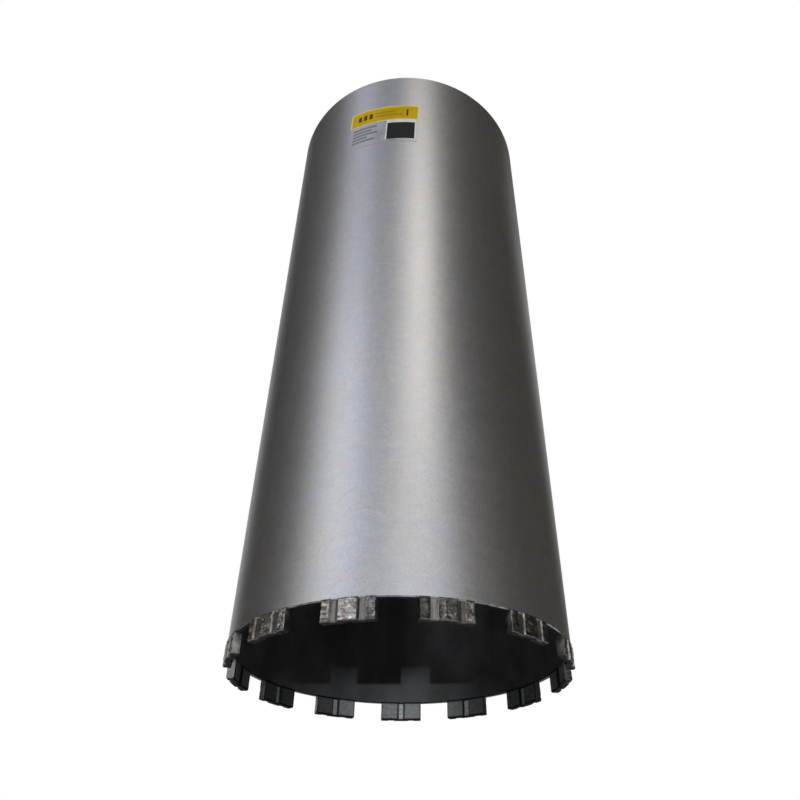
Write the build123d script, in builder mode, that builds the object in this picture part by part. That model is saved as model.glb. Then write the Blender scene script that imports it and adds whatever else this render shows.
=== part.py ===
from build123d import *

import os
from math import asin, cos, degrees, radians, sin, tan

# Diamond core bit for drilling concrete, stood on its cutting segments.
# Millimetres. The origin is on the axis in the cutting plane, +Z runs from the segments' tips to the hub,
# and the label looks towards -Y.

# Tube
barrel_diameter = 182.0
barrel_wall = 3.0
barrel_length = 430.0
barrel_end_chamfer = 0.8  # outer edge at the closed end

# Cutting segments
segment_count = 13
segment_length = 25.0  # between the two ends, which are parallel
segment_thickness = 4.5
segment_height = 10.0
segment_tip_chamfer = 0.4
first_segment_angle = -77.1  # about +Z from +X

# Turbo profile of a segment: upright grooves, two outside and one inside
outer_groove_width = 4.3  # at the mouth
outer_groove_offset = 6.3  # from the segment's middle to the middle of the groove
inner_groove_width = 4.3  # at the mouth
groove_depth = 1.1
groove_flank_angle = 62.0  # between the groove's mouth and its flank
groove_overcut = 0.5  # how far the cutting shape runs out of the groove's mouth

# Closing disc
plate_thickness = 8.0
plate_recess = 3.0  # from the tube's end down to the disc
plate_fit = 0.1  # radial gap between disc and tube

# Hub with a female 1 1/4 inch thread, 7 turns to the inch
hub_diameter = 50.0
hub_height = 45.0  # above the disc
hub_edge_chamfer = 1.5
spigot_diameter = 42.0  # the stretch that passes through the disc
spigot_fit = 0.1  # radial gap between spigot and disc
thread_major_diameter = 31.75
thread_minor_diameter = 28.2
thread_lead_in = 0.5  # how far the mouth of the thread is opened past the major diameter
flat_width = 41.0  # across the two wrench flats
flat_length = 24.0  # down from the hub's end

# Weld beads
plate_weld_leg = 2.6
hub_weld_leg = 5.0
weld_crown = 0.25  # how far a bead's face bulges, as a share of its leg

# Label
label_width = 53.0  # round the tube
label_height = 46.0
label_thickness = 0.25
label_corner_radius = 1.5
label_bond = 0.05  # adhesive between label and tube
label_angle = -102.6  # about +Z from +X
label_drop = 64.0  # from the tube's closed end down to the label's middle
label_tilt = 1.5  # clockwise as one looks at the label

# Worked out from the sizes above
barrel_radius = barrel_diameter / 2
barrel_bore_radius = barrel_radius - barrel_wall
wall_middle_radius = barrel_radius - barrel_wall / 2
barrel_top = segment_height + barrel_length
plate_top = barrel_top - plate_recess
plate_bottom = plate_top - plate_thickness
hub_top = plate_top + hub_height
label_middle = barrel_top - label_drop
segment_outer_radius = wall_middle_radius + segment_thickness / 2
segment_inner_radius = wall_middle_radius - segment_thickness / 2
outer_half_arc = degrees(asin(segment_length / 2 / segment_outer_radius))
inner_half_arc = degrees(asin(segment_length / 2 / segment_inner_radius))
segment_spacing = 360 / segment_count
outer_groove_angle = degrees(outer_groove_offset / segment_outer_radius)

os.makedirs("parts", exist_ok=True)


def groove(mouth_width, rotation):
    """The shape of an upright groove with sloping flanks, cut from outside its mouth."""
    Trapezoid(
        mouth_width + 2 * groove_overcut / tan(radians(groove_flank_angle)),
        groove_depth + groove_overcut,
        groove_flank_angle,
        rotation=rotation,
        align=(Align.CENTER, Align.MIN),
        mode=Mode.SUBTRACT,
    )


def weld_face(foot, toe, corner):
    """The bulged face of a weld bead, from its foot to its toe, away from the corner that it fills."""
    middle = (foot + toe) / 2
    outward = middle - corner
    return ThreePointArc(foot, middle + outward * weld_crown, toe)


# Tube
with BuildPart() as barrel:
    with BuildSketch(Plane.XY.offset(segment_height)):
        Circle(barrel_radius)
        Circle(barrel_bore_radius, mode=Mode.SUBTRACT)
    extrude(amount=barrel_length)
    end_edges = barrel.faces().sort_by(Axis.Z)[-1].edges()
    chamfer(end_edges.sort_by(SortBy.LENGTH)[-1], barrel_end_chamfer)
barrel.part.label = "barrel"
export_step(barrel.part, "parts/barrel.step")


# Cutting segments, all alike, butted against the tube's open end
for number in range(1, segment_count + 1):
    angle = first_segment_angle + (number - 1) * segment_spacing
    with BuildPart() as segment:
        with BuildSketch(Plane.XY.rotated((0, 0, angle))):
            with BuildLine():
                outer_arc = CenterArc((0, 0), segment_outer_radius, -outer_half_arc, 2 * outer_half_arc)
                inner_arc = CenterArc((0, 0), segment_inner_radius, -inner_half_arc, 2 * inner_half_arc)
                Line(outer_arc @ 0, inner_arc @ 0)
                Line(outer_arc @ 1, inner_arc @ 1)
            make_face()
            with PolarLocations(
                segment_outer_radius + groove_overcut,
                2,
                start_angle=-outer_groove_angle,
                angular_range=2 * outer_groove_angle,
                endpoint=True,
            ):
                groove(outer_groove_width, rotation=90)
            with Locations((segment_inner_radius - groove_overcut, 0)):
                groove(inner_groove_width, rotation=-90)
        extrude(amount=segment_height)
        tip_edges = segment.faces().sort_by(Axis.Z)[0].edges()
        chamfer(tip_edges, segment_tip_chamfer)
    segment.part.label = f"segment_{number:02d}"
    export_step(segment.part, f"parts/segment_{number:02d}.step")


# Closing disc with the hole for the hub's spigot
with BuildPart() as back_plate:
    with BuildSketch(Plane.XY.offset(plate_bottom)):
        Circle(barrel_bore_radius - plate_fit)
        Circle(spigot_diameter / 2 + spigot_fit, mode=Mode.SUBTRACT)
    extrude(amount=plate_thickness)
back_plate.part.label = "back_plate"
export_step(back_plate.part, "parts/back_plate.step")


# Hub, turned in one piece: spigot, body, through bore at the thread's minor diameter
with BuildPart() as hub:
    with BuildSketch(Plane.XY.offset(plate_bottom)):
        Circle(spigot_diameter / 2)
    extrude(amount=plate_thickness)
    with BuildSketch(Plane.XY.offset(plate_top)):
        Circle(hub_diameter / 2)
    extrude(amount=hub_height)
    chamfer(hub.faces().sort_by(Axis.Z)[-1].edges(), hub_edge_chamfer)
    with BuildSketch(Plane.XY.offset(hub_top)):
        Rectangle(2 * hub_diameter, 2 * hub_diameter)
        Rectangle(flat_width, 2 * hub_diameter, mode=Mode.SUBTRACT)
    extrude(amount=-flat_length, mode=Mode.SUBTRACT)
    with Locations((0, 0, hub_top)):
        CounterSinkHole(
            thread_minor_diameter / 2,
            thread_major_diameter / 2 + thread_lead_in,
            depth=hub_height + plate_thickness,
            counter_sink_angle=90,
        )
hub.part.label = "hub"
export_step(hub.part, "parts/hub.step")


# Fillet weld between the disc and the tube, inside the recess
with BuildPart() as plate_weld:
    with BuildSketch(Plane.XZ):
        with BuildLine():
            corner = Vector(barrel_bore_radius, plate_top)
            foot = corner - Vector(plate_weld_leg, 0)
            toe = corner + Vector(0, plate_weld_leg)
            Polyline(foot, corner, toe)
            weld_face(foot, toe, corner)
        make_face()
    revolve(axis=Axis.Z)
plate_weld.part.label = "plate_weld"
export_step(plate_weld.part, "parts/plate_weld.step")


# Fillet weld between the hub and the disc
with BuildPart() as hub_weld:
    with BuildSketch(Plane.XZ):
        with BuildLine():
            corner = Vector(hub_diameter / 2, plate_top)
            foot = corner + Vector(hub_weld_leg, 0)
            toe = corner + Vector(0, hub_weld_leg)
            Polyline(foot, corner, toe)
            weld_face(foot, toe, corner)
        make_face()
    revolve(axis=Axis.Z)
hub_weld.part.label = "hub_weld"
export_step(hub_weld.part, "parts/hub_weld.step")


# Label, a thin sheet wrapped on the tube: a stretch of shell, trimmed to a rectangle with round corners
label_chord = 2 * barrel_radius * sin(label_width / barrel_diameter)
label_radius = barrel_radius + label_bond
label_plane = Plane(
    origin=(0, 0, label_middle),
    x_dir=(-sin(radians(label_angle)), cos(radians(label_angle)), 0),
    z_dir=(cos(radians(label_angle)), sin(radians(label_angle)), 0),
)
with BuildPart() as label:
    with BuildSketch(Plane.XY.offset(label_middle)):
        Circle(label_radius + label_thickness)
        Circle(label_radius, mode=Mode.SUBTRACT)
    extrude(amount=label_height, both=True)
    with BuildSketch(label_plane):
        RectangleRounded(label_chord, label_height, label_corner_radius, rotation=-label_tilt)
    extrude(amount=2 * barrel_radius, mode=Mode.INTERSECT)
label.part.label = "label"
export_step(label.part, "parts/label.step")
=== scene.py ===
from math import asin, atan2, ceil, copysign, cos, hypot, pi, radians, sin, sqrt

import bpy
from mathutils import Matrix, Vector, noise


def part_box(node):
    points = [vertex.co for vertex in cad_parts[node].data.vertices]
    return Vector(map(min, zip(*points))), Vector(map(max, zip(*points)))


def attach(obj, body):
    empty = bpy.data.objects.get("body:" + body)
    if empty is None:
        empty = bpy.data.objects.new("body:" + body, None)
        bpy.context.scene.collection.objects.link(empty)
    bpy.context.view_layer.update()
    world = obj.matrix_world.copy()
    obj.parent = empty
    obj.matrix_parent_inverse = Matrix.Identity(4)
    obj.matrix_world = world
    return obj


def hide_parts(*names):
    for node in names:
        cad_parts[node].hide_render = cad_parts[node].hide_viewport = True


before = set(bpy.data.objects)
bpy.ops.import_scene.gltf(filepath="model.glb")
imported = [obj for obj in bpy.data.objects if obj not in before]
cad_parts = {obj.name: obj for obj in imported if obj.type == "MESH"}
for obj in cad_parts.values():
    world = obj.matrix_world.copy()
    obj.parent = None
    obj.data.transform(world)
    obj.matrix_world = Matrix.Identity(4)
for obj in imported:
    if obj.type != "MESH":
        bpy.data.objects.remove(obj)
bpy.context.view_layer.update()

MM = 0.001

# Sizes read from the frame
barrel_low, barrel_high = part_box("barrel")
plate_low, plate_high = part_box("back_plate")
hub_low, hub_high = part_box("hub")
hub_weld_low, hub_weld_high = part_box("hub_weld")
plate_weld_low, plate_weld_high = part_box("plate_weld")
label_low, label_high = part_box("label")
SEGMENTS = sorted(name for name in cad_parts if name.startswith("segment_"))

BARREL_RADIUS = barrel_high.x
BARREL_WALL = 3.0 * MM
BORE_RADIUS = BARREL_RADIUS - BARREL_WALL
BARREL_END_CHAMFER = 0.8 * MM
RIM_EDGE = 0.5 * MM

PLATE_EDGE = 0.4 * MM
SPIGOT_FIT = 0.1 * MM  # radial gap between the hub's spigot and the closing disc

SEGMENT_HEIGHT = barrel_low.z
SEGMENT_LENGTH = 25.0 * MM
SEGMENT_THICKNESS = 4.5 * MM
WALL_MIDDLE_RADIUS = BARREL_RADIUS - BARREL_WALL / 2
SEGMENT_OUTER_RADIUS = WALL_MIDDLE_RADIUS + SEGMENT_THICKNESS / 2
SEGMENT_INNER_RADIUS = WALL_MIDDLE_RADIUS - SEGMENT_THICKNESS / 2
SEGMENT_EDGE = 0.5 * MM
GROOVE_WIDTH = 4.3 * MM
GROOVE_FLOOR = 3.13 * MM
GROOVE_OFFSET = 6.3 * MM
GROOVE_DEPTH = 1.1 * MM
END_EDGE = 0.25 * MM

HUB_FLAT_WIDTH = 41.0 * MM
HUB_FLAT_LENGTH = 24.0 * MM
HUB_EDGE_CHAMFER = 1.5 * MM
SPIGOT_RADIUS = 21.0 * MM
SPIGOT_EDGE = 0.5 * MM
THREAD_MINOR_RADIUS = 14.1 * MM
THREAD_MAJOR_RADIUS = 15.875 * MM
THREAD_PITCH = 25.4 / 7 * MM
THREAD_LEAD_IN = 0.5 * MM

LABEL_WIDTH = 53.0 * MM
LABEL_HEIGHT = 46.0 * MM
LABEL_CORNER = 1.5 * MM
LABEL_TILT = radians(1.5)


# Meshes

TINY = 1e-6  # keeps rounding errors out of a count of steps, and 0 out of a division


def add_object(name, data):
    made = bpy.data.objects.new(name, data)
    bpy.context.scene.collection.objects.link(made)
    return made


def new_piece(name, vertices, faces, sharp_angle=35.0):
    """A mesh object that rides with the bit, smooth but for its sharp edges. The angle is in degrees."""
    mesh = bpy.data.meshes.new(name)
    mesh.from_pydata(vertices, [], faces)
    mesh.validate()
    mesh.polygons.foreach_set("use_smooth", [True] * len(mesh.polygons))
    mesh.set_sharp_from_angle(angle=radians(sharp_angle))
    piece = add_object(name, mesh)
    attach(piece, "root")
    return piece


def around(count, extra=()):
    """Angles once round the axis, evenly spaced, with some more put in between."""
    even = [2 * pi * k / count for k in range(count)]
    return sorted(set(even) | {angle % (2 * pi) for angle in extra})


def sides(count, pairs):
    """The quads between sections of a count of points. pairs says which are neighbours."""
    return [
        (here * count + j, there * count + j, there * count + k, here * count + k)
        for here, there in pairs for j, k in zip(range(count), [*range(1, count), 0])
    ]


def ring(name, profile, angles, sharp_angle=35.0):
    """A closed ring about the axis. profile(angle) gives its section, a closed loop of (radius, height)."""
    sections = [profile(angle) for angle in angles]
    count = len(sections[0])
    vertices = [
        (radius * cos(angle), radius * sin(angle), height)
        for angle, section in zip(angles, sections)
        for radius, height in section
    ]
    faces = sides(count, [(i, (i + 1) % len(angles)) for i in range(len(angles))])
    return new_piece(name, vertices, faces, sharp_angle)


def between(low, high, step):
    """Evenly spaced values from low to high, both included, about a step apart."""
    count = max(1, ceil(abs(high - low) / step - TINY))
    return [low + (high - low) * k / count for k in range(count + 1)]


def through(marks, step):
    """Values from the lowest mark to the highest, one at each mark and the others about a step apart."""
    marks = sorted(marks)
    values = []
    for low, high in zip(marks, marks[1:]):
        values += between(low, high, step)[:-1]
    return values + [marks[-1]]


def partway(first, last, share):
    return first + (last - first) * share


def grid_cell(i, j, wide):
    """The corners of a cell in a grid of points that is a number of them wide."""
    here = j * wide + i
    return (here, here + 1, here + wide + 1, here + wide)


def set_attribute(piece, title, values):
    """Gives each vertex a value that the materials can read."""
    piece.data.attributes.new(title, "FLOAT", "POINT").data.foreach_set("value", values)


# Camera, below the cutting plane and in front, looking up at the bit

PICTURE = 800
SENSOR_WIDTH = 36.0
FOCAL_PIXELS = 701.02
PRINCIPAL_X = 417.51
PRINCIPAL_Y = 420.06
CAMERA_PLACE = Vector((-0.72, -381.92, -106.32)) * MM
CAMERA_YAW = radians(1.456)
CAMERA_PITCH = radians(35.915)
CAMERA_ROLL = radians(0.227)
CAMERA_NEAR, CAMERA_FAR = 0.01, 50.0


def make_camera():
    camera = add_object("camera", bpy.data.cameras.new("camera"))
    flat = cos(CAMERA_PITCH)
    forward = Vector((sin(CAMERA_YAW) * flat, cos(CAMERA_YAW) * flat, sin(CAMERA_PITCH)))
    level = Vector((cos(CAMERA_YAW), -sin(CAMERA_YAW), 0))
    upright = level.cross(forward)
    right = level * cos(CAMERA_ROLL) + upright * sin(CAMERA_ROLL)
    up = upright * cos(CAMERA_ROLL) - level * sin(CAMERA_ROLL)
    turn = Matrix((right, up, -forward)).transposed()
    camera.matrix_world = Matrix.Translation(CAMERA_PLACE) @ turn.to_4x4()
    camera.data.sensor_width = SENSOR_WIDTH
    camera.data.lens = FOCAL_PIXELS * SENSOR_WIDTH / PICTURE
    camera.data.shift_x = (PICTURE / 2 - PRINCIPAL_X) / PICTURE
    camera.data.shift_y = (PRINCIPAL_Y - PICTURE / 2) / PICTURE
    camera.data.clip_start, camera.data.clip_end = CAMERA_NEAR, CAMERA_FAR
    bpy.context.scene.camera = camera


make_camera()


# Materials

def add_node(tree, kind, inputs=None, **settings):
    """A new node with its settings. Its inputs are sockets to link or plain values."""
    made = tree.nodes.new(kind)
    for setting, value in settings.items():
        setattr(made, setting, value)
    for socket, value in (inputs or {}).items():
        if isinstance(value, bpy.types.NodeSocket):
            tree.links.new(value, made.inputs[socket])
        else:
            made.inputs[socket].default_value = value
    return made


class Shader:
    """A node material with a few shorthands for building its network."""

    def __init__(self, name, **values):
        self.material = bpy.data.materials.new(name)
        self.material.use_nodes = True
        self.tree = self.material.node_tree
        self.surface = self.tree.nodes["Principled BSDF"]
        for socket, value in values.items():
            self.surface.inputs[socket.replace("_", " ")].default_value = value

    def node(self, kind, inputs=None, **settings):
        return add_node(self.tree, kind, inputs, **settings)

    def attribute(self, title):
        """A value that the mesh holds for each of its vertices."""
        return self.node("ShaderNodeAttribute", attribute_name=title).outputs["Fac"]

    def coordinates(self, scale=(1, 1, 1), location=(0, 0, 0)):
        """Object coordinates in metres, scaled."""
        place = self.node("ShaderNodeTexCoord").outputs["Object"]
        inputs = {"Vector": place, "Scale": scale, "Location": location}
        return self.node("ShaderNodeMapping", inputs).outputs["Vector"]

    def axes(self, location=(0, 0, 0)):
        """The three object coordinates in metres, each on its own."""
        parts = self.node("ShaderNodeSeparateXYZ", {"Vector": self.coordinates(location=location)})
        return [parts.outputs[name] for name in "XYZ"]

    def noise(self, scale, detail=3.0, roughness=0.55, location=(0, 0, 0)):
        """Noise from 0 to 1, with its own scale along each axis, in turns a metre."""
        place = self.coordinates(scale, location)
        inputs = {"Vector": place, "Scale": 1.0, "Detail": detail, "Roughness": roughness}
        return self.node("ShaderNodeTexNoise", inputs).outputs["Fac"]

    def remap(self, value, low, high, to_low, to_high):
        inputs = {"Value": value, "From Min": low, "From Max": high, "To Min": to_low, "To Max": to_high}
        return self.node("ShaderNodeMapRange", inputs).outputs["Result"]

    def math(self, operation, a, b=0.0, c=0.0):
        made = self.node("ShaderNodeMath", {0: a, 1: b, 2: c}, operation=operation)
        return made.outputs["Value"]

    def plus(self, a, b):
        return self.math("ADD", a, b)

    def times(self, a, b):
        return self.math("MULTIPLY", a, b)

    def mix(self, factor, first, second, blend_type="MIX"):
        """A mix of two colours, for which the node has the inputs 6 and 7 and the output 2."""
        inputs = {0: factor, 6: first, 7: second}
        made = self.node("ShaderNodeMix", inputs, data_type="RGBA", blend_type=blend_type)
        return made.outputs[2]

    def blend(self, pattern, low, high, first, second):
        """The first colour where a pattern is at its low value, running to the second at its high one."""
        return self.mix(self.remap(pattern, low, high, 0.0, 1.0), first, second)

    def shade(self, colour, level):
        """A colour, darker or lighter by a level."""
        return self.mix(1.0, colour, level, "MULTIPLY")

    def bump(self, height, strength, distance):
        inputs = {"Height": height, "Strength": strength, "Distance": distance}
        return self.node("ShaderNodeBump", inputs).outputs["Normal"]

    def drive(self, **sources):
        """Feeds the surface's inputs from sockets."""
        for socket, source in sources.items():
            self.tree.links.new(source, self.surface.inputs[socket.replace("_", " ")])
        return self.material

    def cover(self, colour, pattern, roughness, strength, distance):
        """Feeds the surface a colour, and a roughness (from, to) and a bump that follow one pattern."""
        return self.drive(
            Base_Color=colour,
            Roughness=self.remap(pattern, 0.3, 0.7, *roughness),
            Normal=self.bump(pattern, strength, distance),
        )


def grey(value):
    return (value, value, value, 1.0)


def warm_grey(value):
    return (value, 0.96 * value, 0.89 * value, 1.0)


# Scratches on the tube's front: arcs about (across, height) with a radius, from one bearing to another in
# degrees up from +X, and how much they darken or lighten the steel
SCRATCHES = (
    (-16.0 * MM, 47.5 * MM, 19.3 * MM, 108, 147, 0.83),
    (-19.3 * MM, 35.5 * MM, 17.3 * MM, 42, 98, 1.12),
)


def scratch(shader, across, height, radius, start, end):
    """1 on a thin arc on the tube's front and 0 elsewhere."""
    x, y, z = shader.axes((-across, 0, -height))
    reach = shader.math("SQRT", shader.math("MULTIPLY_ADD", x, x, shader.times(z, z)))
    away = shader.math("ABSOLUTE", shader.math("SUBTRACT", reach, radius))
    line = shader.remap(away, 0.1 * MM, 0.6 * MM, 1.0, 0.0)
    bearing = shader.math("ARCTAN2", z, x)
    half = radians(end - start) / 2
    off_middle = shader.math("ABSOLUTE", shader.math("SUBTRACT", bearing, radians(start + end) / 2))
    stretch = shader.remap(off_middle, 0.5 * half, half, 1.0, 0.0)
    front = shader.math("LESS_THAN", y, 0.0)
    return shader.times(shader.times(line, front), stretch)


def brushed_tube():
    """Satin steel, brushed round the tube, with faint mottling, a fine grain and a few arcs of scratches."""
    shader = Shader("tube_outside", Metallic=1.0, Anisotropic=0.35)
    fine = shader.noise((30, 30, 2600), detail=2.0)
    coarse = shader.noise((14, 14, 420), location=(3, 1, 7))
    cloud = shader.noise((16, 16, 9), detail=4.0, location=(5, 2, 1))
    mottle = shader.noise((190, 190, 230), roughness=0.7, location=(2, 8, 4))
    stain = shader.noise((70, 70, 55), detail=4.0, roughness=0.6, location=(8, 5, 3))
    grit = shader.noise((1100, 1100, 1300), detail=2.0, location=(7, 3, 9))
    brushing = shader.plus(shader.times(fine, 0.8), shader.times(coarse, 0.2))
    level = shader.remap(brushing, 0.3, 0.7, 0.96, 1.04)
    for pattern, spread in ((cloud, 0.03), (mottle, 0.05), (grit, 0.095)):
        level = shader.times(level, shader.remap(pattern, 0.3, 0.7, 1 - spread, 1 + spread))
    for *arc, tone in SCRATCHES:
        mark = scratch(shader, *arc)
        level = shader.times(level, shader.remap(mark, 0.0, 1.0, 1.0, tone))
    steel = shader.blend(stain, 0.35, 0.65, (0.452, 0.455, 0.465, 1), (0.468, 0.455, 0.437, 1))
    fine_roughness = shader.remap(fine, 0.3, 0.7, 0.355, 0.405)
    mottled_roughness = shader.remap(mottle, 0.3, 0.7, -0.008, 0.008)
    relief = shader.plus(fine, shader.times(grit, 0.8))
    return shader.drive(
        Base_Color=shader.shade(steel, level),
        Roughness=shader.plus(fine_roughness, mottled_roughness),
        Normal=shader.bump(relief, 0.28, 0.05 * MM),
        Tangent=shader.node("ShaderNodeTangent", direction_type="RADIAL", axis="Z").outputs["Tangent"],
    )


# A painted stripe of light in the bore: its bearing, the angles from there where it is full and gone, in
# degrees, how much lighter it makes the scale, and the heights between which it comes in
LIT_STRIPE_BEARING = 69
LIT_STRIPE_FULL, LIT_STRIPE_GONE = 8, 21
LIT_STRIPE_GAIN = 1.7
LIT_STRIPE_FROM, LIT_STRIPE_TO = 16 * MM, 40 * MM


def scaled_bore():
    """The tube's inside: dark mill scale, with a painted stripe of light along it."""
    shader = Shader("tube_inside", Metallic=0.3)
    cloud = shader.noise((60, 60, 40), detail=5.0)
    colour = shader.blend(cloud, 0.35, 0.65, (0.095, 0.097, 0.103, 1), (0.15, 0.152, 0.158, 1))
    x, y, z = shader.axes()
    # Painted light: one stripe of the bore is made lighter, fading in above the open end
    bearing = shader.math("ARCTAN2", y, x)
    off_stripe = shader.math("ABSOLUTE", shader.math("SUBTRACT", bearing, radians(LIT_STRIPE_BEARING)))
    painted_light = shader.remap(off_stripe, radians(LIT_STRIPE_FULL), radians(LIT_STRIPE_GONE), LIT_STRIPE_GAIN, 0.0)
    inward = shader.remap(z, LIT_STRIPE_FROM, LIT_STRIPE_TO, 0.0, 1.0)
    colour = shader.shade(colour, shader.math("MULTIPLY_ADD", painted_light, inward, 1.0))
    return shader.cover(colour, cloud, (0.42, 0.6), 0.2, 0.1 * MM)


def cut_rim():
    """The sawn edge of the tube between the segments: near-black metal, a painted shade."""
    shader = Shader("tube_rim", Metallic=1.0)
    cloud = shader.noise((220, 220, 220), detail=4.0)
    # Painted shade: the rim's metal is made near-black
    colour = shader.blend(cloud, 0.35, 0.65, (0.04, 0.042, 0.048, 1), (0.10, 0.10, 0.105, 1))
    return shader.cover(colour, cloud, (0.35, 0.5), 0.3, 0.08 * MM)


BEVEL_SHADED, BEVEL_UNSHADED = -66 * MM, -54 * MM  # places along X between which the bevel's painted shade fades


def ground_edge():
    """The bright ground bevel at the tube's open end, with painted shade on its left part."""
    shader = Shader("tube_edge", Metallic=1.0)
    nicks = shader.noise((260, 260, 500), detail=4.0)
    colour = shader.blend(nicks, 0.35, 0.6, (0.14, 0.14, 0.14, 1), (0.55, 0.545, 0.54, 1))
    across = shader.axes()[0]
    # Painted shade: the bevel is darkened towards the left
    colour = shader.shade(colour, shader.remap(across, BEVEL_SHADED, BEVEL_UNSHADED, 0.3, 1.0))
    return shader.cover(colour, nicks, (0.3, 0.45), 0.3, 0.08 * MM)


def turned_steel(name, colour, roughness):
    """Turned steel with fine rings round the axis."""
    shader = Shader(name, Metallic=1.0)
    x, y, z = shader.axes()
    squares = shader.plus(shader.math("POWER", x, 2.0), shader.math("POWER", y, 2.0))
    lathe = shader.node("ShaderNodeCombineXYZ", {"X": shader.math("SQRT", squares), "Z": z})
    inputs = {"Vector": lathe.outputs["Vector"], "Scale": 2200.0, "Detail": 2.0}
    rings = shader.node("ShaderNodeTexNoise", inputs).outputs["Fac"]
    cloud = shader.noise((70, 70, 70), detail=4.0)
    ring_level = shader.remap(rings, 0.3, 0.7, 0.92, 1.06)
    cloud_level = shader.remap(cloud, 0.3, 0.7, 0.9, 1.06)
    return shader.drive(
        Base_Color=shader.shade(colour, shader.times(ring_level, cloud_level)),
        Roughness=shader.remap(cloud, 0.3, 0.7, roughness - 0.05, roughness + 0.07),
        Normal=shader.bump(rings, 0.35, 0.06 * MM),
    )


def weld_metal():
    """Weld beads with a brown and blue heat tint."""
    shader = Shader("weld_metal", Metallic=1.0, Roughness=0.42)
    cloud = shader.noise((180, 180, 180), detail=4.0)
    tint = shader.node("ShaderNodeValToRGB", {"Fac": shader.remap(cloud, 0.3, 0.7, 0.0, 1.0)})
    ramp = tint.color_ramp
    ramp.elements[0].color = (0.36, 0.33, 0.30, 1)
    ramp.elements[1].color = (0.34, 0.35, 0.38, 1)
    ramp.elements.new(0.5).color = (0.50, 0.47, 0.44, 1)
    return shader.drive(Base_Color=tint.outputs["Color"], Normal=shader.bump(cloud, 0.4, 0.1 * MM))


def segment_outside():
    """Sintered metal with diamond grit: lumpy and ground on the lands, drawn smooth in the grooves.

    The mesh says how light a land is, with painted light and shade on some segments, how deep a point lies
    in a groove, where painted shade lies in the grooves and how high a point stands.
    """
    shader = Shader("segment_outside")
    tone, groove, groove_shade, relief = (shader.attribute(title) for title in ("tone", "groove", "groove_shade", "relief"))
    place = shader.coordinates()
    grit = shader.node("ShaderNodeTexVoronoi", {"Vector": place, "Scale": 1300.0}).outputs["Distance"]
    rough = shader.noise((1000, 1000, 1000), detail=5.0)
    layers = shader.noise((90, 90, 1100), location=(1, 4, 2))
    drawn = shader.noise((1500, 1500, 60), detail=2.0, location=(6, 1, 3))
    smear = shader.noise((200, 200, 420), location=(3, 6, 8))
    tint = shader.noise((260, 260, 160), location=(9, 3, 5))
    blotch = shader.noise((330, 330, 420), roughness=0.6, location=(4, 9, 6))

    # Lands: from brown to bright metal, with painted glints
    light = shader.math("MULTIPLY_ADD", relief, 0.5, shader.math("MULTIPLY_ADD", layers, 0.8, -0.4))
    light = shader.math("MULTIPLY_ADD", blotch, 1.1, shader.math("SUBTRACT", light, 0.45))
    light = shader.plus(light, shader.times(rough, 0.4))
    brown = shader.blend(tint, 0.45, 0.7, (0.11, 0.103, 0.083, 1), (0.145, 0.09, 0.075, 1))
    land = shader.blend(light, 0.32, 0.92, brown, (0.62, 0.59, 0.55, 1))
    in_blotch = shader.remap(blotch, 0.58, 0.66, 0.0, 1.0)
    painted_glint = shader.times(in_blotch, shader.remap(rough, 0.4, 0.55, 0.0, 1.0))
    # A painted highlight: near-white glints on the land
    land = shader.mix(shader.times(painted_glint, 0.8), land, (1.0, 0.98, 0.95, 1))
    # The mesh's tone: painted light and shade on some segments, a random tone on the others
    land = shader.shade(land, tone)

    # Grooves: a drawn floor, smeared flanks and painted shade
    floor = shader.blend(drawn, 0.35, 0.65, (0.13, 0.12, 0.108, 1), (0.28, 0.26, 0.24, 1))
    flank = shader.times(shader.times(groove, shader.math("SUBTRACT", 1.0, groove)), 4.0)
    smeared = shader.blend(smear, 0.4, 0.6, (0.28, 0.26, 0.22, 1), (0.76, 0.70, 0.60, 1))
    colour = shader.mix(flank, shader.mix(groove, land, floor), smeared)

    height = shader.plus(shader.times(rough, 0.6), shader.times(grit, 0.4))
    height = shader.math("MULTIPLY_ADD", blotch, 1.6, height)
    height = shader.times(height, shader.remap(groove, 0.0, 1.0, 1.0, 0.25))
    # The colour is darkened by the painted shade in the grooves
    return shader.drive(
        Base_Color=shader.shade(colour, shader.remap(groove_shade, 0.0, 1.0, 1.0, 0.25)),
        Metallic=shader.remap(flank, 0.0, 1.0, 0.95, 0.5),
        Roughness=shader.remap(rough, 0.3, 0.7, 0.26, 0.46),
        Normal=shader.bump(height, 0.9, 0.16 * MM),
    )


def segment_inside():
    """Pressed metal on the inner faces, with painted shade at the faces' edges and on the groove's flanks.
    """
    shader = Shader("segment_inside", Metallic=0.45)
    tone, edge = shader.attribute("tone"), shader.attribute("edge")
    rough = shader.noise((600, 600, 600), detail=5.0)
    colour = shader.blend(rough, 0.32, 0.68, (0.27, 0.285, 0.29, 1), (0.41, 0.425, 0.43, 1))
    # Painted shade at the faces' outlines and the groove's flanks, on top of the tone's painted light and
    # shade
    level = shader.times(tone, shader.remap(edge, 0.0, 0.7, 1.0, 0.08))
    return shader.cover(shader.shade(colour, level), rough, (0.45, 0.6), 0.45, 0.09 * MM)


def segment_metal(name, dark, light, metallic, roughness):
    """The segments' pressed and sawn faces: even metal of a warm grey."""
    shader = Shader(name, Metallic=metallic)
    rough = shader.noise((600, 600, 600), detail=5.0)
    colour = shader.blend(rough, 0.32, 0.68, warm_grey(dark), warm_grey(light))
    return shader.cover(colour, rough, (roughness - 0.07, roughness + 0.07), 0.45, 0.09 * MM)


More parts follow.
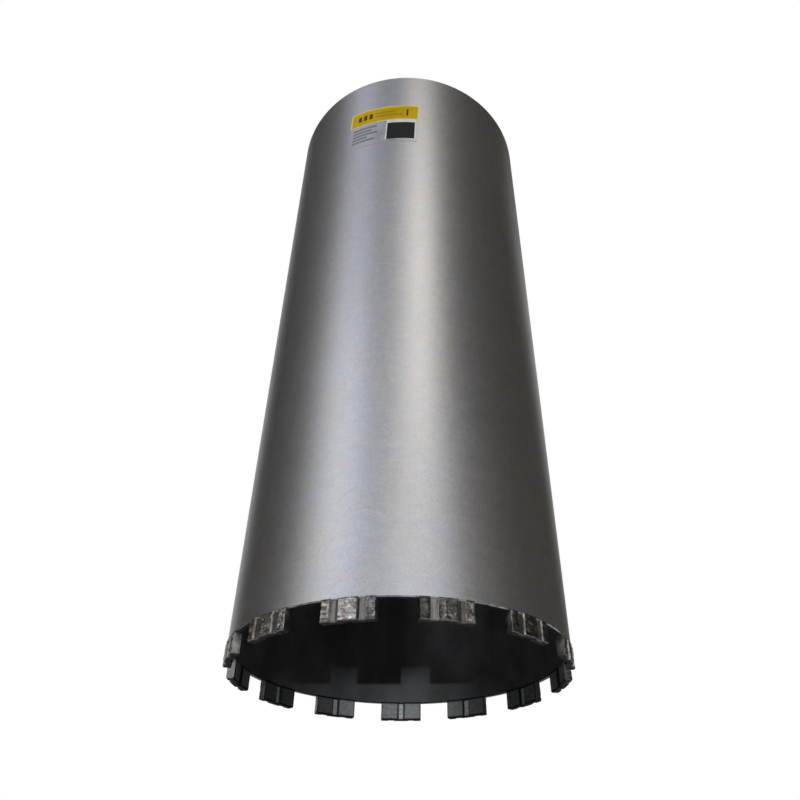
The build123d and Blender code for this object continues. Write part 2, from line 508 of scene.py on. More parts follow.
def seam_metal(name, dark, light, groove_highlight):
    """The laser-weld bead between the tube and a segment, with a painted shadow on the lands and a painted
    highlight over the grooves.
    """
    shader = Shader(name, Metallic=1.0)
    cloud = shader.noise((400, 400, 400), detail=4.0)
    colour = shader.blend(cloud, 0.4, 0.7, dark, light)
    # Painted highlight over the grooves, painted shadow on the lands
    colour = shader.mix(shader.attribute("groove"), colour, groove_highlight)
    return shader.cover(colour, cloud, (0.3, 0.45), 0.4, 0.06 * MM)


def printed(name, colour, roughness=0.45, metallic=0.0):
    """A field of the label's print, a little uneven."""
    shader = Shader(name, Metallic=metallic, Specular_IOR_Level=0.03)
    cloud = shader.noise((150, 150, 150), detail=4.0)
    colour = shader.shade(colour, shader.remap(cloud, 0.3, 0.7, 0.9, 1.08))
    return shader.cover(colour, cloud, (roughness - 0.05, roughness + 0.1), 0.15, 0.05 * MM)


# Tube

def barrel_section(angle):
    """The tube's section, which is the same all round."""
    low, high = barrel_low.z, barrel_high.z
    return [
        (BARREL_RADIUS - RIM_EDGE, low), (BARREL_RADIUS, low + RIM_EDGE),
        (BARREL_RADIUS, high - BARREL_END_CHAMFER), (BARREL_RADIUS - BARREL_END_CHAMFER, high),
        (BORE_RADIUS, high), (BORE_RADIUS, low + RIM_EDGE), (BORE_RADIUS + RIM_EDGE, low),
    ]


def barrel_look(face):
    """The name of the look that a face of the tube has, from the way the face looks."""
    inward = face.normal.x * face.center.x + face.normal.y * face.center.y < 0
    if face.normal.z < -0.5:
        return "rim" if inward or face.normal.z < -0.9 else "bevel"
    return "inside" if inward and face.normal.z < 0.5 else "outside"


def dress(piece, looks, choose):
    """Gives each face of a piece one of the looks: choose(face) says which by name."""
    order = list(looks)
    for look in looks.values():
        piece.data.materials.append(look)
    for face in piece.data.polygons:
        face.material_index = order.index(choose(face))


def make_barrel():
    barrel = ring("tube", barrel_section, around(360))
    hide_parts("barrel")
    looks = {"outside": brushed_tube(), "inside": scaled_bore(), "rim": cut_rim(), "bevel": ground_edge()}
    dress(barrel, looks, barrel_look)


make_barrel()


# Closing disc, hub and their welds

# A bead's crown, ripples and swell as shares of its leg, and how far a ripple bows as a share of their pitch
BEAD_CROWN, BEAD_RIPPLE, BEAD_SWELL, RIPPLE_BOW = 0.25, 0.05, 0.10, 0.35
BEAD_STEPS = 8
BEAD_SWELL_TURNS = 7  # how fast the swell changes round the bead

ROOT_HALF = 1 / 16  # half the width of a thread's root, as a share of the pitch
FLANK = 5 / 16  # the width of a thread's flank, as a share of the pitch
SPIGOT_MOUTH = 1.0 * MM  # how much less wide the bore's lower mouth is than its upper one, as a radius
THREAD_GRID = 0.3 * MM
CHAMFER_LEAST = 0.2 * MM  # the least height of the chamfer, where the flats cut into it
FLAT_LEDGE = 0.01 * MM


def plate_section(angle):
    """The closing disc's section, which is the same all round."""
    outer, inner = plate_high.x, SPIGOT_RADIUS + SPIGOT_FIT
    low, high = plate_low.z, plate_high.z
    return [
        (outer - PLATE_EDGE, low), (outer, low + PLATE_EDGE),
        (outer, high - PLATE_EDGE), (outer - PLATE_EDGE, high), (inner, high), (inner, low),
    ]


def bead_section(corner, outward, leg, ripple_pitch, angle):
    """A fillet bead in a corner at (radius, height), outside that radius (outward +1) or inside it (-1)."""
    radius, height = corner
    phase = angle * radius / ripple_pitch
    swell_place = Vector((cos(angle) * BEAD_SWELL_TURNS, sin(angle) * BEAD_SWELL_TURNS, radius * 100))
    swell = BEAD_SWELL * noise.noise(swell_place)
    loop = [corner]
    for k in range(BEAD_STEPS + 1):
        share = k / BEAD_STEPS
        ripple = BEAD_RIPPLE * abs(sin(pi * (phase + RIPPLE_BOW * (2 * share - 1) ** 2)))
        bulge = 1 + (BEAD_CROWN + ripple + swell) * sin(pi * share)
        loop.append((radius + outward * leg * (1 - share) * bulge, height + leg * share * bulge))
    return loop if outward > 0 else loop[::-1]


def make_bead(name, corner, outward, leg, ripple_pitch, count, look):
    """A ring of weld round the axis, with a number of sections."""
    bead = ring(
        name, lambda angle: bead_section(corner, outward, leg, ripple_pitch, angle),
        around(count), sharp_angle=60,
    )
    bead.data.materials.append(look)
    return bead


def thread_radius(height, angle):
    """The radius of the hub's thread at a height and an angle."""
    turn = ((height - hub_low.z) / THREAD_PITCH - angle / (2 * pi)) % 1.0
    rise = min(1.0, max(0.0, (abs(turn - 0.5) - ROOT_HALF) / FLANK))
    return THREAD_MAJOR_RADIUS - (THREAD_MAJOR_RADIUS - THREAD_MINOR_RADIUS) * rise


def hub_section(angle):
    """The hub's section: up its outside, which the flats cut into, and down its threaded bore."""
    low, high, ledge = hub_low.z, hub_high.z, plate_high.z
    body = hub_high.y
    flat = min(body, HUB_FLAT_WIDTH / 2 / max(abs(cos(angle)), TINY))
    flat_foot = high - HUB_FLAT_LENGTH
    chamfer_foot = min(high - CHAMFER_LEAST, high - HUB_EDGE_CHAMFER + body - flat)
    top_radius = min(flat, body - HUB_EDGE_CHAMFER)
    outside = [
        (SPIGOT_RADIUS - SPIGOT_EDGE, low), (SPIGOT_RADIUS, low + SPIGOT_EDGE), (SPIGOT_RADIUS, ledge),
        (body, ledge), (body, flat_foot), (flat, flat_foot + FLAT_LEDGE), (flat, chamfer_foot),
        (top_radius, high),
    ]
    inside = []
    mouth = THREAD_MAJOR_RADIUS + THREAD_LEAD_IN
    for height in reversed(between(low, high, THREAD_GRID)):
        upper_cone = mouth - (high - height)
        lower_cone = mouth - SPIGOT_MOUTH - (height - low)
        inside.append((max(thread_radius(height, angle), upper_cone, lower_cone), height))
    return outside + inside


def make_closed_end():
    plate = ring("closing_disc", plate_section, around(240))
    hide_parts("back_plate")
    plate.data.materials.append(turned_steel("disc_steel", (0.40, 0.39, 0.38, 1), 0.42))

    weld = weld_metal()
    leg = plate_weld_high.z - plate_weld_low.z
    bead = make_bead("disc_weld", (BORE_RADIUS, plate_high.z), -1, leg, 2.2 * MM, 720, weld)
    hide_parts("plate_weld")

    edge = atan2(sqrt(hub_high.y ** 2 - (HUB_FLAT_WIDTH / 2) ** 2), HUB_FLAT_WIDTH / 2)
    angles = around(144, (edge, -edge, pi - edge, pi + edge))
    hub = ring("threaded_hub", hub_section, angles)
    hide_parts("hub")
    hub.data.materials.append(turned_steel("hub_turned", (0.52, 0.51, 0.50, 1), 0.3))

    leg = hub_weld_high.z - hub_weld_low.z
    bead = make_bead("hub_fillet", (hub_high.y, plate_high.z), 1, leg, 3.0 * MM, 540, weld)
    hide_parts("hub_weld")


make_closed_end()


# Cutting segments

SEGMENT_GRID = 0.4 * MM
TIP_STEPS, TOP_STEPS = 8, 4  # across a section's tip and top

# Lumps on a segment's faces as (bumps a millimetre, height in millimetres), and its layers in millimetres
LUMPS = ((0.42, 0.22), (1.1, 0.15), (2.6, 0.06))
LAYER_PITCH, LAYER_HEIGHT = 2.6, 0.06

# How light the three lands of some segments are, in the order of their angle: painted light and shade
LAND_LIGHT_AND_TONE = {12: (1.1, 1.0, 1.0), 13: (0.75, 1.0, 0.48), 1: (0.17, 0.36, 0.8), 2: (0.35, 0.35, 0.4)}

# How light the inner faces are before and behind the groove, where they differ from the plain tone: painted
# light and shade
INNER_LIGHT_AND_SHADE = {5: (0.6, 0.6), 6: (0.62, 1.05), 7: (1.1, 1.05), 8: (1.4, 0.5), 9: (0.37, 0.37)}
INNER_TONE = 0.8
# How much lighter the inner groove's floor is: a painted highlight
INNER_GROOVE_HIGHLIGHT = 1.9

# Painted shade in the two grooves of some segments: a dark line, from and to in mm from the groove's middle,
# and how much painted shade lies on the rest of the groove
GROOVE_SHADE_LINES = {13: ((0.8, 1.6, 0.28), (-1.8, -1.2, 0.0)), 1: ((-2.2, -1.5, 0.0), (-1.9, -0.3, 0.0))}
SHADE_FADE = 0.5 * MM

SHADED_LEADING_END = 12  # the segment whose leading end has the trailing ends' painted shade
EDGE_SHADE_FADE = 0.8 * MM  # how far the painted shade at the edge of an inner face reaches


def trench(offset, centre):
    """How deep a groove with sloping flanks is, at an offset along the segment."""
    away = abs(offset - centre)
    share = (GROOVE_WIDTH / 2 - away) / ((GROOVE_WIDTH - GROOVE_FLOOR) / 2)
    return GROOVE_DEPTH * min(1.0, max(0.0, share))


def outer_trench(offset):
    """How deep the two grooves in the outer face are, at an offset along the segment."""
    return trench(offset, -GROOVE_OFFSET) + trench(offset, GROOVE_OFFSET)


def segment_stations():
    """Offsets along the segment, closer where the grooves' flanks are and at the rounded ends."""
    end = SEGMENT_LENGTH / 2
    marks = {-end, -end + END_EDGE, end - END_EDGE, end}
    for centre in (-GROOVE_OFFSET, 0.0, GROOVE_OFFSET):
        for half in (GROOVE_WIDTH / 2, GROOVE_FLOOR / 2):
            marks |= {centre - half, centre + half}
        marks |= {centre - GROOVE_FLOOR / 2 + SHADE_FADE, centre + GROOVE_FLOOR / 2 - SHADE_FADE}
    return through(marks, SEGMENT_GRID)


def middle_angle(node):
    """The angle at which a node stands."""
    mean = sum((v.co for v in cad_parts[node].data.vertices), Vector())
    return atan2(mean.y, mean.x)


def along_segment(middle, stations, sections):
    """The vertices and faces of a closed body that has a section at each offset along a segment.

    The sections are parallel, so that the segment's ends and the flanks of its grooves are too.
    """
    count = len(sections[0])
    vertices = []
    for offset, section in zip(stations, sections):
        for radius, height, *_ in section:
            angle = middle + asin(offset / radius)
            vertices.append((radius * cos(angle), radius * sin(angle), height))
    faces = sides(count, [(i, i + 1) for i in range(len(stations) - 1)])
    faces.append(tuple(range(count)))
    faces.append(tuple(reversed(range((len(stations) - 1) * count, len(stations) * count))))
    return vertices, faces


def land_light_and_tone(number, offset):
    """How light a segment's land is at an offset along it: painted light and shade on the listed segments, a
    random tone on the others.
    """
    land = 0 if offset < -GROOVE_OFFSET else 2 if offset > GROOVE_OFFSET else 1
    if number in LAND_LIGHT_AND_TONE:
        return LAND_LIGHT_AND_TONE[number][land]
    return 0.6 + 0.25 * noise.noise(Vector((number * 3.7, 1.3 + land, 2.9)))


def inner_light_and_shade(number, offset):
    """How light a segment's inner face is at an offset along it: painted light and shade, with a painted
    highlight in the groove.
    """
    before, behind = INNER_LIGHT_AND_SHADE.get(number, (INNER_TONE, INNER_TONE))
    if abs(offset) < GROOVE_FLOOR / 2:
        return INNER_GROOVE_HIGHLIGHT
    return before if offset < 0 else behind


def inner_edge_shade(offset, height):
    """1 at the outline of a segment's inner face and on its groove's flanks, fading to 0 away from them:
    painted shade.
    """
    flank = (GROOVE_WIDTH + GROOVE_FLOOR) / 4
    from_end = SEGMENT_LENGTH / 2 - abs(offset)
    from_flank = abs(abs(offset) - flank)
    away = min(from_end, height - 0.2 * MM, SEGMENT_HEIGHT - height, from_flank)
    return min(1.0, max(0.0, 1 - away / EDGE_SHADE_FADE))


def groove_shade_level(number, offset):
    """1 where painted shade lies in a groove, by default at the feet of both its flanks, and less away from
    there.
    """
    right = offset > 0
    along = offset - (GROOVE_OFFSET if right else -GROOVE_OFFSET)
    if number not in GROOVE_SHADE_LINES:
        return max(0.0, 1 - abs(abs(along) - GROOVE_FLOOR / 2) / SHADE_FADE)
    low, high, rest_shade = GROOVE_SHADE_LINES[number][right]
    away = max(low * MM - along, along - high * MM, 0.0)
    return max(rest_shade if abs(along) < GROOVE_WIDTH / 2 else 0.0, 1 - away / SHADE_FADE)


def lumps(offset, radius, height, seed):
    """How far a segment's face stands out or back at a place, in millimetres."""
    place = Vector((offset, radius * 0.5, height)) / MM
    lump = sum(noise.noise(place * turns + seed) * high for turns, high in LUMPS)
    waver = 4 * noise.noise(place * 0.3 + seed) + seed.x
    return lump + LAYER_HEIGHT * sin(2 * pi * height / (LAYER_PITCH * MM) + waver)


def segment_section(offset, seed):
    """The section across a segment at an offset along it, as (radius, height, groove share, relief, inner).

    It runs up the outside, over the top, down the inside and across the tip, with as many points everywhere.
    """
    depth = outer_trench(offset)
    share = depth / GROOVE_DEPTH
    rounding = max(0.0, END_EDGE - (SEGMENT_LENGTH / 2 - abs(offset)))
    outer = SEGMENT_OUTER_RADIUS - depth - rounding
    inner = SEGMENT_INNER_RADIUS + trench(offset, 0.0) + rounding
    edge, top = SEGMENT_EDGE, SEGMENT_HEIGHT
    heights = between(edge, top, SEGMENT_GRID)
    loop = [(outer, z, 1, 0) for z in heights]
    loop += [(outer + (inner - outer) * k / TOP_STEPS, top, 0, 0) for k in range(1, TOP_STEPS)]
    loop += [(inner, z, -1, 0) for z in reversed(heights)]
    tip_width = outer - inner - 2 * edge
    loop += [(inner + edge + tip_width * k / TIP_STEPS, 0.0, 0, -1) for k in range(TIP_STEPS + 1)]
    # The lumps fade towards the top and the tip, and lie flatter in the grooves and on the inside
    result = []
    for radius, height, push_r, push_z in loop:
        lump = lumps(offset, radius, height, seed)
        relief = min(1.0, max(0.0, 0.5 + lump * 1.6)) * (1 - share)
        near_edge = min(1.0, max(0.0, height - 0.2 * MM) / (1.0 * MM), (top - height) / (1.0 * MM))
        if push_r < 0:
            amount = 0.25 * lump * near_edge * MM
        else:
            if push_r > 0:
                lump *= 1 - 0.85 * share
            amount = (lump - 0.10) * (0.12 + 0.88 * near_edge) * MM
        lifted = max(0.0, height + push_z * min(0.0, 0.35 * amount))
        result.append((radius + push_r * amount, lifted, share if push_r > 0 else 0.0, relief, push_r < 0))
    return result


def make_segment(node, looks):
    number = int(node.split("_")[1])
    seed = Vector((number * 13.7, number * 5.3, number * 9.1))
    middle = middle_angle(node)
    stations = segment_stations()
    sections = [segment_section(offset, seed) for offset in stations]
    vertices, faces = along_segment(middle, stations, sections)
    piece = new_piece(f"cutter_{number:02d}", vertices, faces, sharp_angle=40)
    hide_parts(node)
    points = [(offset, *point) for offset, section in zip(stations, sections) for point in section]
    offsets, _, heights, shares, reliefs, inners = zip(*points)
    # Each vertex's tone, with painted light and shade on some segments' lands and inner faces
    tone_and_light_levels = [(inner_light_and_shade if inner else land_light_and_tone)(number, offset) for offset, inner in zip(offsets, inners)]
    set_attribute(piece, "tone", tone_and_light_levels)
    set_attribute(piece, "groove_shade", [groove_shade_level(number, offset) for offset in offsets])
    set_attribute(piece, "edge", [inner_edge_shade(offset, height) for offset, height in zip(offsets, heights)])
    set_attribute(piece, "groove", shares)
    set_attribute(piece, "relief", reliefs)
    radial = Vector((cos(middle), sin(middle), 0))
    forward = Vector((-sin(middle), cos(middle), 0))

    def segment_look(face):
        normal, outward = face.normal, face.normal.dot(radial)
        if normal.z < -0.9:
            return "tip"
        if normal.z < -0.4 and outward > 0.3:
            return "bevel"
        if abs(outward) < 0.3 and abs(normal.z) < 0.5:
            return "leading" if normal.dot(forward) > 0 and number != SHADED_LEADING_END else "trailing"
        return "inside" if outward < -0.3 else "outside"

    dress(piece, looks, segment_look)


SEAM_STEPS = 6
SEAM_GRID = 0.2 * MM
SEAM_PITCH = 1.1  # millimetres between the seam's ripples
SEAM_ROOT = 0.6 * MM  # how deep the seam's section reaches into the metal
SEAM_END = 0.15 * MM  # how far the seam stops short of the segment's end


def seam_section(offset, number, side):
    """The section of a laser-weld bead between tube and segment. side is +1 outside and -1 inside."""
    if side > 0:
        wall = BARREL_RADIUS
        face = SEGMENT_OUTER_RADIUS - outer_trench(offset)
        root = min(wall, face) - SEAM_ROOT
    else:
        wall = BORE_RADIUS
        face = SEGMENT_INNER_RADIUS + trench(offset, 0.0)
        root = max(wall, face) + SEAM_ROOT
    along = offset / MM
    place = Vector((along * 0.9, number * 7.7, side * 3.1))
    phase = 2 * pi * along / SEAM_PITCH + number
    rise = (0.62 + 0.08 * sin(phase) + 0.22 * noise.noise(place)) * MM
    drop = (0.22 + 0.06 * sin(phase + 0.6) + 0.14 * noise.noise(place * 1.7)) * MM
    top = (wall + side * 0.02 * MM, SEGMENT_HEIGHT + rise)
    foot = (face + side * 0.05 * MM, SEGMENT_HEIGHT - drop)
    bulge = (0.16 + 0.05 * noise.noise(place * 2.3)) * MM
    loop = [(wall - side * SEAM_ROOT, SEGMENT_HEIGHT + rise)]
    for k in range(SEAM_STEPS + 1):
        share = k / SEAM_STEPS
        radius = partway(top[0], foot[0], share) + side * bulge * sin(pi * share)
        loop.append((radius, partway(top[1], foot[1], share)))
    return loop + [(root, SEGMENT_HEIGHT - drop)]


def make_seam(node, side, look):
    number = int(node.split("_")[1])
    reach = SEGMENT_LENGTH / 2 - SEAM_END
    stations = between(-reach, reach, SEAM_GRID)
    sections = [seam_section(offset, number, side) for offset in stations]
    vertices, faces = along_segment(middle_angle(node), stations, sections)
    if side > 0:
        faces = [tuple(reversed(face)) for face in faces]
    where = "outer" if side > 0 else "inner"
    piece = new_piece(f"{where}_seam_{number:02d}", vertices, faces, sharp_angle=70)
    piece.data.materials.append(look)
    shares = [outer_trench(offset) / GROOVE_DEPTH for offset in stations for _ in sections[0]]
    set_attribute(piece, "groove", shares)


def make_segments():
    looks = {
        "outside": segment_outside(),
        "inside": segment_inside(),
        # The trailing ends are a darker copy of the same metal as the leading ones: painted shade
        "leading": segment_metal("segment_leading_ends", 0.17, 0.32, 1.0, 0.42),
        "trailing": segment_metal("segment_trailing_ends", 0.07, 0.15, 1.0, 0.45),
        "tip": segment_metal("segment_tips", 0.08, 0.17, 0.4, 0.5),
        "bevel": segment_metal("segment_bevels", 0.09, 0.20, 0.2, 0.45),
    }
    # The inner seam is a darker copy of the outer one: painted shade in the bore
    pale = seam_metal("seam_outside", grey(0.05), grey(0.32), grey(0.34))
    dark = seam_metal("seam_inside", grey(0.02), grey(0.07), grey(0.04))
    for node in SEGMENTS:
        make_segment(node, looks)
        make_seam(node, 1, pale)
        make_seam(node, -1, dark)


make_segments()


# Label: a foil with fields of colour

LABEL_ANGLE = middle_angle("label")
LABEL_MIDDLE = (label_low.z + label_high.z) / 2
LABEL_GRID = 1.2 * MM
LABEL_LIFT = 0.22 * MM  # of the printed side from the tube
LABEL_FOOT = 0.02 * MM  # of the glued side from the tube
LABEL_RIPPLE = 0.05 * MM
YELLOW_HEIGHT = 18.6 * MM
YELLOW_EDGE = 0.9 * MM
PANEL_RIM = 1.0 * MM
PANEL_WIDTH = 20.4 * MM
PANEL_HEIGHT = 20.8 * MM
PANEL_MARGIN = 2.6 * MM
PANEL_DROP = 3.6 * MM

# Plain marks on the yellow field as (left, right, bottom, top, look), in millimetres from the label's left
# edge and the field's foot
MARKS = (
    (24.0, 42.0, 3.0, 15.6, "amber"),
    (6.4, 9.0, 6.0, 12.5, "mark"),
    (10.8, 13.4, 6.0, 12.5, "mark"),
    (15.2, 17.8, 6.0, 12.5, "mark"),
    (43.5, 45.0, 5.0, 13.5, "mark"),
    (20.0, 41.0, 6.5, 8.3, "ochre"),
    (20.0, 36.0, 10.5, 12.3, "ochre"),
)

# Lines below the yellow field, in millimetres
LINE_LENGTHS = (19.0, 15.0, 20.0, 12.0, 18.0)
LINE_LEFT, LINE_DROP, LINE_PITCH, LINE_HEIGHT = 3.0, 3.4, 3.9, 2.5

# The colour of each look on the label and, where it shines, its roughness and how metallic it is
LABEL_LOOKS = {
    "foil": ((0.42, 0.42, 0.425, 1), 0.38, 0.92),
    "edge": (grey(0.55),),
    "white": (grey(0.56),),
    "cream": ((0.62, 0.56, 0.26, 1),),
    "yellow": ((0.45, 0.31, 0.004, 1),),
    "amber": ((0.42, 0.265, 0.002, 1),),
    "black": ((0.018, 0.019, 0.02, 1),),
    "mark": ((0.07, 0.05, 0.01, 1),),
    "ochre": ((0.28, 0.19, 0.01, 1),),
    "line": ((0.205, 0.202, 0.195, 1), 0.42, 0.6),
}


def label_fields():
    """Rectangles of print as (left, right, bottom, top, look), the later ones over the earlier."""
    left, right, top = -LABEL_WIDTH / 2, LABEL_WIDTH / 2, LABEL_HEIGHT / 2
    yellow_foot = top - YELLOW_HEIGHT
    panel_right = right - PANEL_MARGIN
    panel_left = panel_right - PANEL_WIDTH
    panel_top = yellow_foot - PANEL_DROP
    panel_foot = panel_top - PANEL_HEIGHT
    fields = [
        (left, right, yellow_foot, top, "cream"),
        (left + YELLOW_EDGE, right - YELLOW_EDGE, yellow_foot + YELLOW_EDGE, top - YELLOW_EDGE, "yellow"),
        (panel_left - PANEL_RIM, panel_right + PANEL_RIM, panel_foot - PANEL_RIM / 3, yellow_foot, "white"),
        (panel_left, panel_right, panel_foot, panel_top, "black"),
    ]
    for start, end, low, high, look in MARKS:
        across = (left + start * MM, left + end * MM)
        fields.append((*across, yellow_foot + low * MM, yellow_foot + high * MM, look))
    for k, length in enumerate(LINE_LENGTHS):
        start = left + LINE_LEFT * MM
        line_top = yellow_foot - (LINE_DROP + LINE_PITCH * k) * MM
        fields.append((start, start + length * MM, line_top - LINE_HEIGHT * MM, line_top, "line"))
    return fields


def wrapped(x, y, rise):
    """A place on the tilted label, given along it and up it from its middle, wrapped on the tube."""
    turned_x = x * cos(LABEL_TILT) + y * sin(LABEL_TILT)
    turned_y = y * cos(LABEL_TILT) - x * sin(LABEL_TILT)
    angle = LABEL_ANGLE + turned_x / BARREL_RADIUS
    radius = BARREL_RADIUS + rise
    return (radius * cos(angle), radius * sin(angle), LABEL_MIDDLE + turned_y)


def round_corner(x, y):
    """Pulls a place in one of the label's corners in to the corner's radius."""
    corner_x, corner_y = LABEL_WIDTH / 2 - LABEL_CORNER, LABEL_HEIGHT / 2 - LABEL_CORNER
    if abs(x) <= corner_x or abs(y) <= corner_y:
        return x, y
    dx, dy = abs(x) - corner_x, abs(y) - corner_y
    pull = max(dx, dy) / hypot(dx, dy)
    return copysign(corner_x + dx * pull, x), copysign(corner_y + dy * pull, y)


def make_label():
    """The foil: a printed side, and a glued side and a skirt between them that have no print."""
    fields = label_fields()
    columns = through({x for field in fields for x in field[:2]}, LABEL_GRID)
    rows = through({-LABEL_HEIGHT / 2} | {y for field in fields for y in field[2:4]}, LABEL_GRID)
    print_side, glued_side = [], []
    for y in rows:
        for x in columns:
            px, py = round_corner(x, y)
            ripple = LABEL_RIPPLE * noise.noise(Vector((px, py, 0)) / MM * 0.12)
            print_side.append(wrapped(px, py, LABEL_LIFT + ripple))
            glued_side.append(wrapped(px, py, LABEL_FOOT))
    wide = len(columns)
    behind = len(print_side)
    faces, centres = [], []
    for j in range(len(rows) - 1):
        for i in range(wide - 1):
            cell = grid_cell(i, j, wide)
            faces += [cell, tuple(behind + index for index in reversed(cell))]
            centres += [((columns[i] + columns[i + 1]) / 2, (rows[j] + rows[j + 1]) / 2), None]
    edge = list(range(wide))
    edge += [j * wide + wide - 1 for j in range(1, len(rows))]
    edge += [(len(rows) - 1) * wide + i for i in reversed(range(wide - 1))]
    edge += [j * wide for j in reversed(range(1, len(rows) - 1))]
    for here, there in zip(edge, edge[1:] + edge[:1]):
        faces.append((there, here, behind + here, behind + there))
        centres.append(None)
    piece = new_piece("label_foil", print_side + glued_side, faces, sharp_angle=50)
    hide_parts("label")

    def label_look(face):
        if centres[face.index] is None:
            return "edge"
        x, y = centres[face.index]
        over = [look for left, right, bottom, top, look in fields if left < x < right and bottom < y < top]
        return over[-1] if over else "foil"

    looks = {name: printed(f"label_{name}", *values) for name, values in LABEL_LOOKS.items()}
    dress(piece, looks, label_look)


make_label()


# Floor, backdrop and light

PALE = 0.86
FLOOR_HALF = 6.0
FLOOR_LIFT = 0.36
FLOOR_LIFT_FROM, FLOOR_LIFT_TO = 0.2, 1.2
SOFT_LIGHT = 0.75  # the world's level for soft light, beside 1 where it is seen

FLAG_RADIUS = 1.6
FLAG_CENTRE = 0.2
FLAG_CELL = 5  # degrees

# Cards that the steel reflects: dark beside the windows in front and behind, bright in front, dim overhead.
# Each has a name, bearings at its foot and at its top in degrees from -Y towards +X, heights in degrees, its
# brightness beside the white background and, where it isn't white, a tint
FLAGS = (
    ("flag_right", (74, 160), (42, 120), (-12, 72), 0.056, (1.0, 0.88, 0.72)),
    ("flag_right_low", (39, 74), (29, 60), (-12, 26), 0.155, (1.0, 0.88, 0.7)),
    ("flag_right_edge", (29, 60), (16.5, 42), (26, 72), 0.035, (1.0, 0.95, 0.9)),
    ("flag_left", (-137, -68.5), (-139, -60.5), (-12, 72), 0.032, (1.0, 0.85, 0.64)),
    ("flag_front", (-22, -13), (-38, -2), (-12, 72), 0.27, (0.86, 0.93, 1.05)),
    ("card_left", (-68.5, -40), (-60.5, -57), (-12, 72), 0.96, (0.985, 0.98, 0.985)),
    ("card_blue", (-40, -24), (-57, -38), (-12, 72), 0.97, (0.94, 1.0, 1.25)),
    ("card_cool", (6, 39), (-2, 29), (-12, 26), 1.12, (0.97, 1.0, 1.12)),
    ("flag_back_right", (146, 190), (112, 190), (46, 72), 0.05),
    ("flag_top_left", (-180, 17), (-180, 17), (72, 80), 0.28),
    ("flag_top_right", (17, 180), (17, 180), (72, 80), 0.06),
    ("flag_overhead", (-180, 180), (-180, 180), (80, 90), 0.3),
)

BIT_MIDDLE = (0, 0, 0.22)
BEAM_SOURCE = 0.008  # radius of the lamp that throws the beam


def looked_at(tree):
    """1 for the rays of the camera, of gloss and of glass, and 0 for the rays of soft light."""
    rays = add_node(tree, "ShaderNodeLightPath").outputs
    seen = rays["Is Camera Ray"]
    for other in ("Is Glossy Ray", "Is Transmission Ray"):
        either = add_node(tree, "ShaderNodeMath", {0: seen, 1: rays[other]}, operation="ADD", use_clamp=True)
        seen = either.outputs[0]
    return seen


def stage_piece(name, vertices, faces, shader):
    """A mesh that belongs to the stage and casts no shadow. Its glow isn't sampled as a lamp."""
    mesh = bpy.data.meshes.new(name)
    mesh.from_pydata(vertices, [], faces)
    piece = add_object(name, mesh)
    piece.visible_shadow = False
    shader.material.cycles.emission_sampling = "NONE"
    mesh.materials.append(shader.material)
    return piece


def make_floor():
    """A pale floor that is seen from above only: from below it lets everything through.

    Away from the bit it is lifted to the backdrop's white for the camera, gloss and glass: no edge shows.
    """
    shader = Shader("floor", Base_Color=grey(PALE), Roughness=0.8, Specular_IOR_Level=0.2)
    from_bit = shader.node("ShaderNodeVectorMath", {0: shader.coordinates()}, operation="LENGTH")
    lift = shader.remap(from_bit.outputs["Value"], FLOOR_LIFT_FROM, FLOOR_LIFT_TO, 0.0, FLOOR_LIFT)
    lift = shader.times(looked_at(shader.tree), lift)
    glow = shader.node("ShaderNodeEmission", {"Color": grey(1.0), "Strength": lift}).outputs["Emission"]
    lit = shader.node("ShaderNodeAddShader", {0: shader.surface.outputs["BSDF"], 1: glow}).outputs["Shader"]
    clear = shader.node("ShaderNodeBsdfTransparent").outputs["BSDF"]
    below = shader.node("ShaderNodeNewGeometry").outputs["Backfacing"]
    mixed = shader.node("ShaderNodeMixShader", {0: below, 1: lit, 2: clear})
    output = shader.tree.nodes["Material Output"]
    shader.tree.links.new(mixed.outputs["Shader"], output.inputs["Surface"])
    corners = [(x * FLOOR_HALF, y * FLOOR_HALF, 0) for x, y in ((-1, -1), (1, -1), (1, 1), (-1, 1))]
    stage_piece("floor", corners, [(0, 1, 2, 3)], shader)


def make_flag(name, foot, top, heights, level, tint=(1, 1, 1)):
    """A card on a sphere round the bit that only reflections show."""
    columns = max(2, ceil(max(abs(foot[1] - foot[0]), abs(top[1] - top[0])) / FLAG_CELL))
    rows = max(2, ceil((heights[1] - heights[0]) / FLAG_CELL))
    vertices = []
    for j in range(rows + 1):
        share = j / rows
        height = radians(partway(*heights, share))
        first, last = partway(foot[0], top[0], share), partway(foot[1], top[1], share)
        for i in range(columns + 1):
            bearing = radians(partway(first, last, i / columns))
            vertices.append((
                FLAG_RADIUS * sin(bearing) * cos(height),
                -FLAG_RADIUS * cos(bearing) * cos(height),
                FLAG_RADIUS * sin(height) + FLAG_CENTRE,
            ))
    faces = [grid_cell(i, j, columns + 1) for j in range(rows) for i in range(columns)]
    glow = (*(channel * level for channel in tint), 1)
    black = {"Base_Color": grey(0.0), "Specular_IOR_Level": 0.0}
    shader = Shader(name, Emission_Color=glow, Emission_Strength=1.0, **black)
    flag = stage_piece(name, vertices, faces, shader)
    flag.visible_camera = False
    flag.visible_diffuse = False
    flag.visible_transmission = False


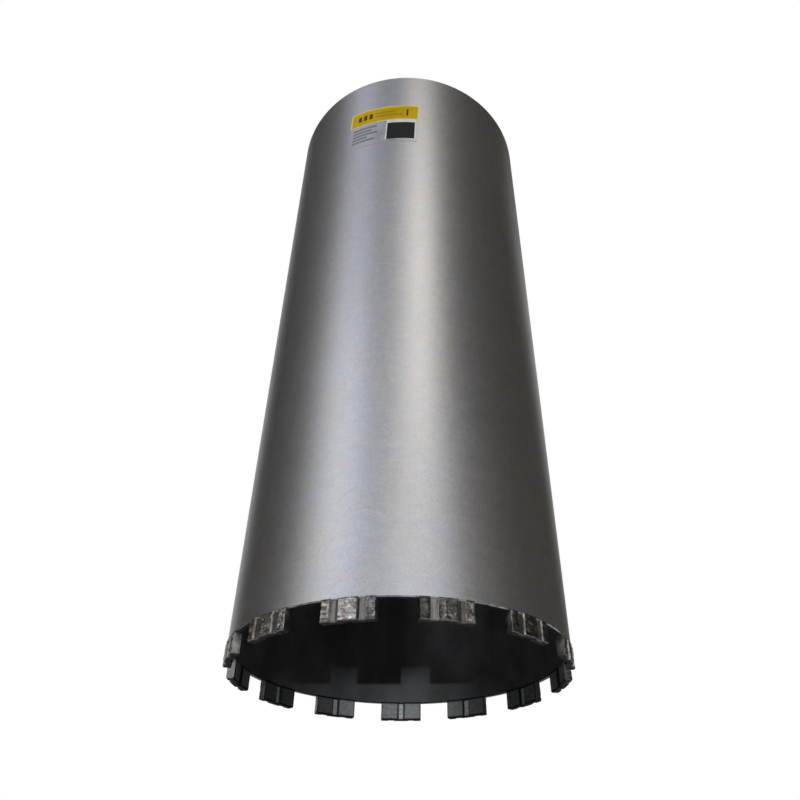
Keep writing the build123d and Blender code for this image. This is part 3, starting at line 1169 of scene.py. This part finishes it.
def make_world():
    """White where the camera, gloss and glass look; a plain grey level for soft light."""
    world = bpy.data.worlds.new("world")
    bpy.context.scene.world = world
    world.use_nodes = True
    tree = world.node_tree
    background = tree.nodes["Background"]
    inputs = {"Value": looked_at(tree), "To Min": SOFT_LIGHT, "To Max": 1.0}
    level = add_node(tree, "ShaderNodeMapRange", inputs)
    tree.links.new(level.outputs["Result"], background.inputs["Strength"])
    background.inputs["Color"].default_value = grey(1.0)


def place_lamp(data, place, target, watts, colour):
    """A lamp that shines from a place towards a target and that the camera doesn't see."""
    data.energy = watts
    data.color = colour
    lamp = add_object(data.name, data)
    lamp.location = place
    lamp.rotation_mode = "QUATERNION"
    lamp.rotation_quaternion = (Vector(target) - Vector(place)).to_track_quat("-Z", "Y")
    lamp.visible_camera = False
    return lamp


def area_lamp(name, place, target, width, height, watts, colour):
    data = bpy.data.lights.new(name, "AREA")
    data.shape = "RECTANGLE"
    data.size, data.size_y = width, height
    place_lamp(data, place, target, watts, colour)


def beam_lamp(name, place, target, half_width, half_height, watts, colour):
    """A flat beam from below the cutting plane, that passes under the rim into the tube.

    The half width and height are those of its elliptic spot at the target.
    """
    data = bpy.data.lights.new(name, "SPOT")
    data.spot_size = 2 * atan2(half_width, (Vector(target) - Vector(place)).length)
    data.spot_blend = 1.0
    data.shadow_soft_size = BEAM_SOURCE
    lamp = place_lamp(data, place, target, watts, colour)
    lamp.scale = (1.0, half_height / half_width, 1.0)


def make_lamps():
    area_lamp("window_left", (-0.95, -1.0, 0.8), BIT_MIDDLE, 0.6, 1.2, 1.9, (0.86, 0.9, 0.94))
    area_lamp("window_right", (0.28, -1.36, 1.28), BIT_MIDDLE, 0.34, 1.3, 2.5, (1.0, 0.92, 0.85))
    area_lamp("window_low", (-0.1, -1.45, 0.45), BIT_MIDDLE, 1.0, 0.35, 0.45, (0.72, 0.86, 1.0))
    low_place, low_target = (-0.105, -1.6, -0.19), (-0.019, -0.09, -0.016)
    beam_lamp("low_front", low_place, low_target, 0.078, 0.028, 27.0, (0.93, 0.97, 1.0))
    area_lamp("fill_below", (0, -0.1, -0.45), (0, 0, 0), 1.0, 1.0, 1.2, (0.96, 0.97, 1.0))


make_floor()
for flag in FLAGS:
    make_flag(*flag)
make_world()
make_lamps()

bpy.context.scene.view_settings.view_transform = "Standard"
